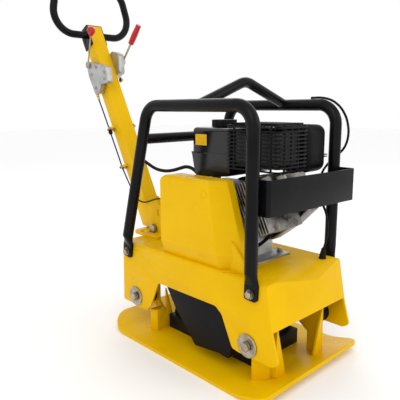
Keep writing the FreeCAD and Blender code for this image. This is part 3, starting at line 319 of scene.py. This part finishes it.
# ---------------------------------------------------------------------------------------------
# Zinc-plated hardware: hexagon bolts on dished washers. Each bolt is modelled at the origin,
# then moved to its own seat, with a random turn about its axis.
# ---------------------------------------------------------------------------------------------
zinc = coated("zinc_plate", (0.50, 0.44, 0.34), (0.30, 0.26, 0.20), 0.28, metallic=1.0, clouds=60,
              grain=500, relief=0.05)
random.seed(4)


def hexagon_bolt(seat, heading, across, high, washer=0.0, washer_high=0.0):
    """A chamfered hexagon head on a round washer, standing along heading from seat."""
    parts = []
    if washer > 0:
        bpy.ops.mesh.primitive_cylinder_add(vertices=48, radius=washer, depth=washer_high,
                                            location=(0, 0, washer_high / 2))
        disc = bpy.context.object
        choose_faces(disc, lambda face: face.normal.z > 0.9)
        showing = washer - across * 0.60
        bpy.ops.mesh.inset(thickness=showing * 0.35, depth=0.0)
        bpy.ops.mesh.inset(thickness=showing * 0.25, depth=-washer_high * 0.3)
        bpy.ops.object.mode_set(mode="OBJECT")
        parts.append(disc)
    bpy.ops.mesh.primitive_cylinder_add(vertices=6, radius=across / math.sqrt(3), depth=high,
                                        location=(0, 0, washer_high + high / 2))
    head = bpy.context.object
    choose_faces(head, lambda face: face.normal.z > 0.9)
    bpy.ops.mesh.inset(thickness=across * 0.09, depth=0.0)
    bpy.ops.transform.translate(value=(0, 0, high * 0.10))
    bpy.ops.object.mode_set(mode="OBJECT")
    parts.append(head)
    bpy.ops.mesh.primitive_cylinder_add(vertices=32, radius=across * 0.56, depth=high * 0.24,
                                        location=(0, 0, washer_high + high * 0.12))
    parts.append(bpy.context.object)
    whole = joined(parts)
    bpy.ops.object.transform_apply(location=True, rotation=True, scale=True)
    rounded(whole, across * 0.025)
    spin = Matrix.Rotation(random.uniform(0, math.pi / 3), 4, "Z")
    turn = Vector(heading).to_track_quat("Z", "Y").to_matrix().to_4x4()
    whole.data.transform(Matrix.Translation(Vector(seat)) @ turn @ spin)
    return whole


def bolt_set(name, bolts, body, *nodes):
    """Joins several bolts into one piece that rides on one body."""
    return hand_over(joined(bolts), name, zinc, body, "zinc_steel", *nodes, smooth=28)


mount_x, mount_z, cheek = 0.248, 0.121, 0.176
hoop_face, hoop_foot_z, bed_seat, bracket_face = 0.186, 0.273, 0.309, 0.045
mount_set = []
for end in (-1, 1):
    for side in (-1, 1):
        mount_set.append(hexagon_bolt((end * mount_x, side * cheek, mount_z), (0, side, 0),
                                      0.024, 0.010, 0.033, 0.004))
bolt_set("mount_bolt_set", mount_set, "deck", "mount_bolts")
hoop_set = []
for side in (-1, 1):
    for x in (-0.281, 0.263):
        hoop_set.append(hexagon_bolt((x, side * hoop_face, hoop_foot_z), (0, side, 0),
                                     0.018, 0.008, 0.0132, 0.0025))
bolt_set("hoop_bolt_set", hoop_set, "deck", "hoop_bolts")
foot_set = [hexagon_bolt((x, y, bed_seat), (0, 0, 1), 0.014, 0.008, 0.011, 0.0015)
            for x in (-0.106, 0.150) for y in (-0.084, 0.088)]
foot_set.append(hexagon_bolt((0.216, -0.130, 0.308), (0, 0, 1), 0.016, 0.007, 0.0115, 0.0015))
bolt_set("engine_bolt_set", foot_set, "deck", "engine_bolts")
pivot = Vector((-0.308, 0, 0.322))
pivot_set = [hexagon_bolt((pivot.x, side * bracket_face, pivot.z), (0, side, 0), 0.030, high,
                          0.0175, 0.0015)
             for side, high in ((-1, 0.0115), (1, 0.0135))]
bpy.ops.mesh.primitive_cylinder_add(vertices=40, radius=0.010, depth=0.088, location=pivot,
                                    rotation=(math.pi / 2, 0, 0))
pivot_set.append(bpy.context.object)
bpy.ops.object.transform_apply(location=True, rotation=True, scale=True)
bolt_set("mast_pivot_bolt", pivot_set, "deck", "mast_bolt")
dress("cable_clips", zinc)


# ---------------------------------------------------------------------------------------------
# Rubber mounts: a waisted rubber block lies across the machine at each corner, between the plate
# and the bed. In use it shears as the bed bounces; here each block rides on no body.
# ---------------------------------------------------------------------------------------------
inner_end, outer_end = 0.1132, 0.1698
for end in (-1, 1):
    for side in (-1, 1):
        bpy.ops.mesh.primitive_cylinder_add(vertices=48, radius=0.036, depth=outer_end - inner_end,
                                            location=(0, 0, 0))
        block = bpy.context.object
        bpy.ops.object.mode_set(mode="EDIT")
        for cut in (-0.019, -0.011, 0.0, 0.011, 0.019):
            bpy.ops.mesh.select_all(action="SELECT")
            bpy.ops.mesh.bisect(plane_co=(0, 0, cut), plane_no=(0, 0, 1))
        bpy.ops.object.mode_set(mode="OBJECT")
        for corner in block.data.vertices:
            waist = 1 - 0.10 * max(0, 1 - abs(corner.co.z) / 0.022)
            corner.co.x *= waist
            corner.co.y *= waist
        rounded(block, 0.0015)
        block.rotation_euler = (math.pi / 2, 0, 0)
        block.location = (end * mount_x, side * (inner_end + outer_end) / 2, mount_z)
        corner_name = ("front_" if end > 0 else "rear_") + ("far" if side > 0 else "near")
        hand_over(block, "rubber_mount_" + corner_name, rubber, None, "black_rubber",
                  "rubber_mounts")
        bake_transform(block)


# ---------------------------------------------------------------------------------------------
# Welds: each bead is a row of overlapping ripples laid along a joint and painted over. They run
# round the plate's uprights, the lifting bar's two ends and the mast's bracket.
# ---------------------------------------------------------------------------------------------
def weld(start, end, width):
    """A rippled bead from start to end."""
    start, end = Vector(start), Vector(end)
    pitch = width * 0.55
    count = max(2, int((end - start).length / pitch))
    bpy.ops.mesh.primitive_ico_sphere_add(subdivisions=2, radius=1, location=(0, 0, 0))
    bead = bpy.context.object
    bead.scale = (width * 0.75, width, width * 0.62)
    bpy.ops.object.transform_apply(scale=True)
    row = bead.modifiers.new("row", "ARRAY")
    row.use_relative_offset = False
    row.use_constant_offset = True
    row.constant_offset_displace = ((end - start).length / count, 0, 0)
    row.count = count + 1
    bpy.ops.object.modifier_apply(modifier="row")
    bead.data.transform(Matrix.Translation(start) @
                        (end - start).to_track_quat("X", "Z").to_matrix().to_4x4())
    return bead


plate_top, plate_bead = 0.0105, 0.0028
plate_beads = []
for side in (-1, 1):
    for start, end in (((0.249, 0.159, 0.0), (0.281, 0.127, 0.001)),
                       ((0.249, 0.159, 0.0), (0.249, 0.115, 0.0)),
                       ((-0.221, 0.159, 0.0), (-0.173, 0.127, 0.0)),
                       ((-0.173, 0.127, 0.0), (-0.173, 0.070, 0.0)),
                       ((0.289, 0.104, 0.002), (0.289, 0.070, 0.002))):
        plate_beads.append(weld((start[0], side * start[1], plate_top + start[2]),
                                (end[0], side * end[1], plate_top + end[2]), plate_bead))
hand_over(joined(plate_beads), "upright_welds", yellow_gloss, "base", "yellow_paint", smooth=60)
rail = Vector((0.078, 0.187, 0.756))
bar_beads = []
for side in (-1, 1):
    ring = []
    for k in range(10):
        turn = 2 * math.pi * k / 10
        ring.append(Vector((rail.x + 0.0155 * math.cos(turn),
                            side * (rail.y - 0.0172 - 0.001 * math.sin(turn)),
                            rail.z + 0.004 + 0.0150 * math.sin(turn))))
    for k in range(10):
        bar_beads.append(weld(ring[k], ring[(k + 1) % 10], 0.0020))
hand_over(joined(bar_beads), "lifting_bar_welds", black_coat, "deck", "black_paint", smooth=60)
mast_beads = []
for side in (-1, 1):
    mast_beads.append(weld((-0.333, side * 0.0462, 0.3128), (-0.252, side * 0.0462, 0.3128),
                           0.0026))
hand_over(joined(mast_beads), "bracket_welds", yellow_gloss, "deck", "yellow_paint", smooth=60)


# ---------------------------------------------------------------------------------------------
# Engine: aluminium castings, blasted on the case and carburettor. The cylinder, its head and the
# blower shroud are darkened in clouds as painted shade among their fins, with lighter clouds as
# painted glints. A dark sheet muffler and a black starter cover.
# ---------------------------------------------------------------------------------------------
aluminium = coated("blasted_aluminium", (0.50, 0.50, 0.49), (0.36, 0.355, 0.345), 0.40, metallic=0.9,
                   clouds=30, grain=320, relief=0.30)
# Painted shade: this alloy's dark clouds stand in for shade among the fins, and its light clouds are
# painted glints.
alloy_painted_shade = coated("alloy_painted_shade", (0.36, 0.345, 0.31), (0.075, 0.068, 0.055), 0.34, metallic=0.85,
                    clouds=24, grain=260, relief=0.35)
dark_metal = coated("dark_sheet", (0.085, 0.085, 0.088), (0.045, 0.045, 0.047), 0.38, metallic=0.6,
                    clouds=20, grain=300, relief=0.12)
eased("crankcase", aluminium, 0.0022, "cast_aluminium", "deck")
eased("cylinder_block", alloy_painted_shade, 0.0008, "cast_aluminium", "deck", segments=1)
eased("cylinder_head", alloy_painted_shade, 0.0015, "cast_aluminium", "deck")
eased("carburettor", aluminium, 0.0020, "cast_aluminium", "deck")
eased("blower_shroud", alloy_painted_shade, 0.0015, "cast_aluminium", "deck")
eased("recoil_cover", black_coat, 0.0015, "black_paint", "deck")
dress("muffler", dark_metal)
eased("throttle_box", aluminium, 0.0030, "cast_aluminium", "mast", segments=3)
eased("direction_box", aluminium, 0.0030, "cast_aluminium", "mast", segments=3)
for node in ("throttle_lever", "direction_lever"):
    dress(node, zinc)


# ---------------------------------------------------------------------------------------------
# Muffler guard: thin black fins wrapped round the muffler, one above another on slim posts, with
# a ribbed lid over them.
# ---------------------------------------------------------------------------------------------
guard_low, guard_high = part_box("muffler_guard")
guard_middle = (guard_low + guard_high) / 2
guard_size = guard_high - guard_low
parts = []
fin_count, fin_high, post_radius, post_inset = 12, 0.0048, 0.0032, 0.0035
for k in range(fin_count):
    fin_z = guard_low.z + 0.004 + k * (guard_size.z - 0.016) / (fin_count - 1)
    bpy.ops.mesh.primitive_cube_add(size=1, location=(guard_middle.x, guard_middle.y, fin_z))
    fin = bpy.context.object
    fin.scale = (guard_size.x, guard_size.y, fin_high)
    bpy.ops.object.transform_apply(location=False, rotation=False, scale=True)
    bpy.ops.object.mode_set(mode="EDIT")
    bpy.ops.mesh.select_mode(type="EDGE")
    bpy.ops.mesh.select_all(action="DESELECT")
    bpy.ops.object.mode_set(mode="OBJECT")
    for edge in fin.data.edges:
        one, two = (fin.data.vertices[v].co for v in edge.vertices)
        edge.select = abs(one.z - two.z) > 0.003
    bpy.ops.object.mode_set(mode="EDIT")
    bpy.ops.mesh.bevel(offset=0.014, segments=5)
    bpy.ops.object.mode_set(mode="OBJECT")
    choose_faces(fin, lambda face: abs(face.normal.z) > 0.9)
    bpy.ops.mesh.delete(type="FACE")
    bpy.ops.object.mode_set(mode="OBJECT")
    wall = fin.modifiers.new("wall", "SOLIDIFY")
    wall.thickness = 0.004
    wall.offset = -1
    bpy.ops.object.modifier_apply(modifier="wall")
    parts.append(fin)
posts = [(x, y) for x in (0.104, 0.152, 0.200, 0.236)
         for y in (guard_low.y + post_inset, guard_high.y - post_inset)]
posts += [(guard_high.x - post_inset, y) for y in (-0.050, -0.020, 0.010, 0.040)]
for x, y in posts:
    bpy.ops.mesh.primitive_cylinder_add(vertices=12, radius=post_radius,
                                        depth=guard_size.z - 0.010,
                                        location=(x, y, guard_middle.z))
    parts.append(bpy.context.object)
bpy.ops.mesh.primitive_cube_add(size=1, location=(guard_middle.x, guard_middle.y,
                                                  guard_high.z - 0.0075))
lid = bpy.context.object
lid.scale = (guard_size.x - 0.004, guard_size.y - 0.004, 0.003)
parts.append(lid)
for k in range(13):
    bpy.ops.mesh.primitive_cube_add(size=1, location=(guard_low.x + 0.018 + k * 0.013, guard_middle.y,
                                                      guard_high.z - 0.0035))
    bar = bpy.context.object
    bar.scale = (0.0036, guard_size.y - 0.016, 0.006)
    parts.append(bar)
cage = joined(parts)
bpy.ops.object.transform_apply(location=True, rotation=True, scale=True)
rounded(cage, 0.0006, segments=1, turn=50)
hand_over(cage, "muffler_guard_fins", black_coat, "deck", "black_paint", "muffler_guard")


# ---------------------------------------------------------------------------------------------
# Air cleaner: a softly rounded moulded housing, with two thin raised bands round the line where
# its cover parts from its body.
# ---------------------------------------------------------------------------------------------
low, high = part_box("air_cleaner")
middle = (low + high) / 2
bpy.ops.mesh.primitive_cube_add(size=1, location=middle)
cleaner = bpy.context.object
cleaner.scale = high - low
bpy.ops.object.transform_apply(location=False, rotation=False, scale=True)
rounded(cleaner, 0.026, segments=6)
parts = [cleaner]
for z in (0.606, 0.612):
    bpy.ops.mesh.primitive_cube_add(size=1, location=(middle.x, middle.y, z))
    band = bpy.context.object
    band.scale = (high.x - low.x + 0.001, high.y - low.y + 0.001, 0.0028)
    bpy.ops.object.transform_apply(location=False, rotation=False, scale=True)
    rounded(band, 0.024, segments=6, limit="NONE")
    parts.append(band)
hand_over(joined(parts), "air_cleaner_housing", moulded, "deck", "black_plastic", "air_cleaner")


# ---------------------------------------------------------------------------------------------
# Fuel tank: the tank in gloss black enamel, with a plain orange patch on its side and a ribbed
# plastic cap with a raised middle.
# ---------------------------------------------------------------------------------------------
enamel = coated("black_enamel", (0.006, 0.006, 0.007), (0.004, 0.004, 0.005), 0.14, clouds=6,
                grain=60, relief=0.03, clear_coat=0.15, shine=0.4)
eased("fuel_tank", enamel, 0.0050, "tank_enamel", "deck", segments=4)
patch = coated("orange_patch", (0.80, 0.47, 0.008), (0.72, 0.41, 0.006), 0.35, clouds=30, grain=300,
               relief=0.05)
bpy.ops.mesh.primitive_cube_add(size=1, location=(-0.0545, -0.0543, 0.652))
label = bpy.context.object
label.scale = (0.050, 0.0010, 0.034)
bpy.ops.object.transform_apply(location=False, rotation=False, scale=True)
rounded(label, 0.0004, segments=1)
hand_over(label, "tank_patch", patch, "deck", "tank_enamel")

cap_low, cap_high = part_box("fuel_cap")
cap_middle = (cap_low + cap_high) / 2
bpy.ops.mesh.primitive_cylinder_add(vertices=96, radius=0.0385, depth=cap_high.z - cap_low.z,
                                    location=(0, 0, 0))
cap = bpy.context.object
choose_faces(cap, lambda face: face.normal.z > 0.9)
bpy.ops.mesh.inset(thickness=0.0035, depth=0.0)
bpy.ops.mesh.inset(thickness=0.010, depth=-0.0025)
bpy.ops.mesh.inset(thickness=0.004, depth=0.0)
bpy.ops.mesh.inset(thickness=0.003, depth=0.0022)
bpy.ops.object.mode_set(mode="OBJECT")
for corner in cap.data.vertices:
    reach = math.hypot(corner.co.x, corner.co.y)
    if reach > 0.0375:
        turn = math.atan2(corner.co.y, corner.co.x)
        swell = 1 + 0.012 * (1 if math.sin(24 * turn) > 0 else -2.2)
        corner.co.x *= swell
        corner.co.y *= swell
cap.location = cap_middle
rounded(cap, 0.0007)
hand_over(cap, "fuel_cap_ribbed", moulded, "cap", "black_plastic", "fuel_cap")


# ---------------------------------------------------------------------------------------------
# Lever box fittings: round bosses with hexagon screws on the two die-cast boxes, a brass cable
# ferrule under one of them, and the rubber linings, bolts and bosses of the cable's clips.
# ---------------------------------------------------------------------------------------------
def turned(start, end, radius, sides=28):
    """A short round or many-sided bar from start to end with both rims chamfered."""
    start, end = Vector(start), Vector(end)
    bpy.ops.mesh.primitive_cylinder_add(vertices=sides, radius=radius, depth=(end - start).length)
    bar = bpy.context.object
    choose_faces(bar, lambda face: abs(face.normal.z) > 0.9)
    bpy.ops.mesh.bevel(offset=min(radius * 0.18, 0.0012), segments=2)
    bpy.ops.object.mode_set(mode="OBJECT")
    bar.data.transform(Matrix.Translation((start + end) / 2) @
                       (end - start).to_track_quat("Z", "Y").to_matrix().to_4x4())
    return bar


brass = coated("yellow_brass", (0.60, 0.42, 0.16), (0.42, 0.28, 0.10), 0.30, metallic=1.0,
               clouds=40, grain=400, relief=0.05)
mast_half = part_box("mast")[1].y
for node, side, seats in (("throttle_box", -1, ((-0.632, 0.906), (-0.578, 0.886), (-0.578, 0.858),
                                                 (-0.640, 0.826), (-0.672, 0.878))),
                          ("direction_box", 1, ((-0.680, 0.926), (-0.655, 0.885), (-0.618, 0.893)))):
    low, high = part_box(node)
    face = low.y if side < 0 else high.y
    screws, bosses = [], []
    for x, z in seats:
        bosses.append(turned((x, face - side * 0.006, z), (x, face + side * 0.0024, z), 0.0066))
        screws.append(turned((x, face - side * 0.001, z), (x, face + side * 0.0046, z), 0.0038, 6))
    hand_over(joined(screws), node + "_screws", zinc, "mast", "zinc_steel")
    hand_over(joined(bosses), node + "_bosses", aluminium, "mast", "cast_aluminium")
ferrule = [turned((-0.6430, -0.050, 0.8060), (-0.6370, -0.050, 0.7930), 0.0058),
           turned((-0.6400, -0.050, 0.7990), (-0.6300, -0.050, 0.7780), 0.0042)]
hand_over(joined(ferrule), "cable_ferrule", brass, "mast", "zinc_steel")

lean = math.radians(27.7)


def on_mast(u, y, w):
    """A point in the mast's own frame: u forward, w up along the mast, from its pivot."""
    return pivot + Vector((u * math.cos(lean) - w * math.sin(lean), y,
                           u * math.sin(lean) + w * math.cos(lean)))


clip_rings, clip_bolts, clip_stubs = [], [], []
for w in (0.269, 0.427):
    heart = on_mast(-0.067, -0.0500, w)
    bpy.ops.mesh.primitive_torus_add(major_radius=0.0062, minor_radius=0.0030, major_segments=28,
                                     minor_segments=12)
    ring = bpy.context.object
    ring.data.transform(Matrix.Translation(heart) @ Matrix.Rotation(-lean, 4, "Y"))
    clip_rings.append(ring)
    clip_bolts.append(turned(on_mast(-0.0585, -0.0590, w), on_mast(-0.0585, -0.0520, w), 0.0062, 6))
    clip_stubs.append(turned(on_mast(-0.0585, -0.0525, w), on_mast(-0.0420, -0.0430, w), 0.0052))
for x, z in ((-0.607, 0.859), (-0.533, 0.680)):
    clip_bolts.append(turned((x, mast_half - 0.001, z), (x, mast_half + 0.0085, z), 0.0080, 6))
    clip_bolts.append(turned((x, mast_half - 0.001, z), (x, mast_half + 0.0020, z), 0.0105))
bpy.ops.mesh.primitive_uv_sphere_add(segments=32, ring_count=18, radius=0.0095)
adjuster = bpy.context.object
adjuster.scale = (0.85, 0.85, 1.15)
bpy.ops.object.transform_apply(scale=True)
adjuster.data.transform(Matrix.Translation(on_mast(-0.067, -0.0500, 0.415)) @
                        Matrix.Rotation(-lean, 4, "Y"))
clip_rings.append(adjuster)
hand_over(joined(clip_rings), "clip_linings", rubber, "mast", "black_rubber", smooth=60)
hand_over(joined(clip_bolts), "clip_bolts", zinc, "mast", "zinc_steel")
hand_over(joined(clip_stubs), "clip_bosses", yellow_gloss, "mast", "yellow_paint")


# ---------------------------------------------------------------------------------------------
# Engine fittings: a bent oil pipe and the ignition lead at the engine's front, and small bolts on
# the crankcase's two sides.
# ---------------------------------------------------------------------------------------------
def tube(name, spots, radius, finish, body, slot, *nodes, along=12, around=4):
    """A smooth bent pipe or cable through the route's points."""
    path = bpy.data.curves.new(name, "CURVE")
    path.dimensions = "3D"
    path.bevel_depth = radius
    path.bevel_resolution = around
    path.resolution_u = along
    path.use_fill_caps = True
    line = path.splines.new("NURBS")
    line.points.add(len(spots) - 1)
    for knot, spot in zip(line.points, spots):
        knot.co = (*spot, 1)
    line.order_u = 3
    line.use_endpoint_u = True
    piece = bpy.data.objects.new(name, path)
    bpy.context.scene.collection.objects.link(piece)
    pick(piece)
    bpy.ops.object.convert(target="MESH")
    return hand_over(bpy.context.object, name, finish, body, slot, *nodes, smooth=60)


tube("oil_pipe", [(0.110, -0.030, 0.330), (0.140, -0.028, 0.338), (0.178, -0.026, 0.366),
                  (0.208, -0.024, 0.398), (0.222, -0.022, 0.424)], 0.0052, rubber, "deck",
     "black_rubber")
tube("ignition_lead", [(0.190, 0.062, 0.560), (0.226, 0.046, 0.556), (0.252, 0.010, 0.540),
                       (0.256, -0.030, 0.520), (0.246, -0.052, 0.500)], 0.0034, rubber, "deck",
     "black_rubber")
case_face, cover_face = 0.074, -0.090
fittings = []
for x, z in ((-0.084, 0.330), (-0.084, 0.490), (0.084, 0.506), (0.110, 0.330)):
    fittings.append(hexagon_bolt((x, case_face, z), (0, 1, 0), 0.011, 0.006, 0.0080, 0.0014))
for x, z in ((-0.054, 0.372), (-0.054, 0.488), (0.028, 0.350), (0.028, 0.510)):
    fittings.append(hexagon_bolt((x, cover_face, z), (0, -1, 0), 0.009, 0.004, 0.0066, 0.0010))
hand_over(joined(fittings), "case_bolts", zinc, "deck", "zinc_steel", smooth=28)


# ---------------------------------------------------------------------------------------------
# Hand controls: a glossy red ball on the throttle lever and a long ribbed red grip on the
# direction lever, both moulded onto their steel stems.
# ---------------------------------------------------------------------------------------------
red = coated("red_plastic_skin", (0.52, 0.008, 0.012), (0.44, 0.006, 0.010), 0.16, clouds=20,
             grain=300, relief=0.03, clear_coat=0.4)
ball_low, ball_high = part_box("throttle_knob")
ball_middle = (ball_low + ball_high) / 2
bpy.ops.mesh.primitive_uv_sphere_add(segments=48, ring_count=24, radius=0.016,
                                     location=ball_middle)
ball = bpy.context.object
bpy.ops.mesh.primitive_cylinder_add(vertices=32, radius=0.0075, depth=0.008,
                                    location=ball_middle + Vector((-0.004, 0, -0.0155)))
collar = bpy.context.object
hand_over(joined([ball, collar]), "throttle_ball", red, "throttle", "red_plastic",
          "throttle_knob", smooth=40)

start, end = Vector((-0.566, 0.0613, 0.994)), Vector((-0.512, 0.0613, 1.056))
along = end - start
bpy.ops.mesh.primitive_cylinder_add(vertices=40, radius=0.0112, depth=along.length, location=(0, 0, 0))
grip = bpy.context.object
bpy.ops.object.mode_set(mode="EDIT")
ribs = 14
for k in range(1, 3 * ribs):
    bpy.ops.mesh.select_all(action="SELECT")
    bpy.ops.mesh.bisect(plane_co=(0, 0, along.length * (k / (3 * ribs) - 0.5)), plane_no=(0, 0, 1))
bpy.ops.object.mode_set(mode="OBJECT")
for corner in grip.data.vertices:
    share = corner.co.z / along.length + 0.5
    swell = 1.0 + 0.07 * math.sin(2 * math.pi * share * ribs)
    taper = 0.90 + 0.12 * math.sin(math.pi * min(share * 1.2, 1))
    corner.co.x *= swell * taper
    corner.co.y *= swell * taper
rounded(grip, 0.0012, turn=60)
grip.data.transform(Matrix.Translation((start + end) / 2) @
                    along.to_track_quat("Z", "Y").to_matrix().to_4x4())
hand_over(grip, "direction_grip_ribbed", red, "direction", "red_plastic", "direction_grip",
          smooth=60)


# ---------------------------------------------------------------------------------------------
# Cables: the throttle cable's tail and the control hose cross from the mast to the bed, and
# ride on no body.
# ---------------------------------------------------------------------------------------------
tail_route = [(-0.434, -0.05, 0.451), (-0.41, -0.05, 0.424), (-0.378, -0.052, 0.412),
              (-0.345, -0.054, 0.414), (-0.314, -0.057, 0.424), (-0.284, -0.062, 0.434),
              (-0.252, -0.066, 0.442), (-0.216, -0.068, 0.446), (-0.18, -0.068, 0.448),
              (-0.142, -0.066, 0.448), (-0.0965, -0.064, 0.448)]
tail = tube("throttle_cable_bend", tail_route, 0.0025, rubber, None, "black_rubber",
            "throttle_cable_tail", along=10, around=5)
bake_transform(tail)
hose_route = [(-0.486, 0.012, 0.571), (-0.45, 0.013, 0.558), (-0.412, 0.014, 0.543),
              (-0.374, 0.011, 0.531), (-0.334, 0.007, 0.526), (-0.292, 0.004, 0.527),
              (-0.252, 0.003, 0.534), (-0.215, 0.003, 0.545), (-0.186, 0.003, 0.553),
              (-0.15, 0.003, 0.548), (-0.12, 0.003, 0.5246), (-0.1046, 0.003, 0.49),
              (-0.1046, 0.003, 0.45), (-0.11, 0.003, 0.406), (-0.122, 0.003, 0.366),
              (-0.13, 0.003, 0.332), (-0.131, 0.003, 0.3033)]
hose = tube("control_hose_bend", hose_route, 0.006, rubber, None, "black_rubber",
            "control_hose", along=10, around=5)
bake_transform(hose)
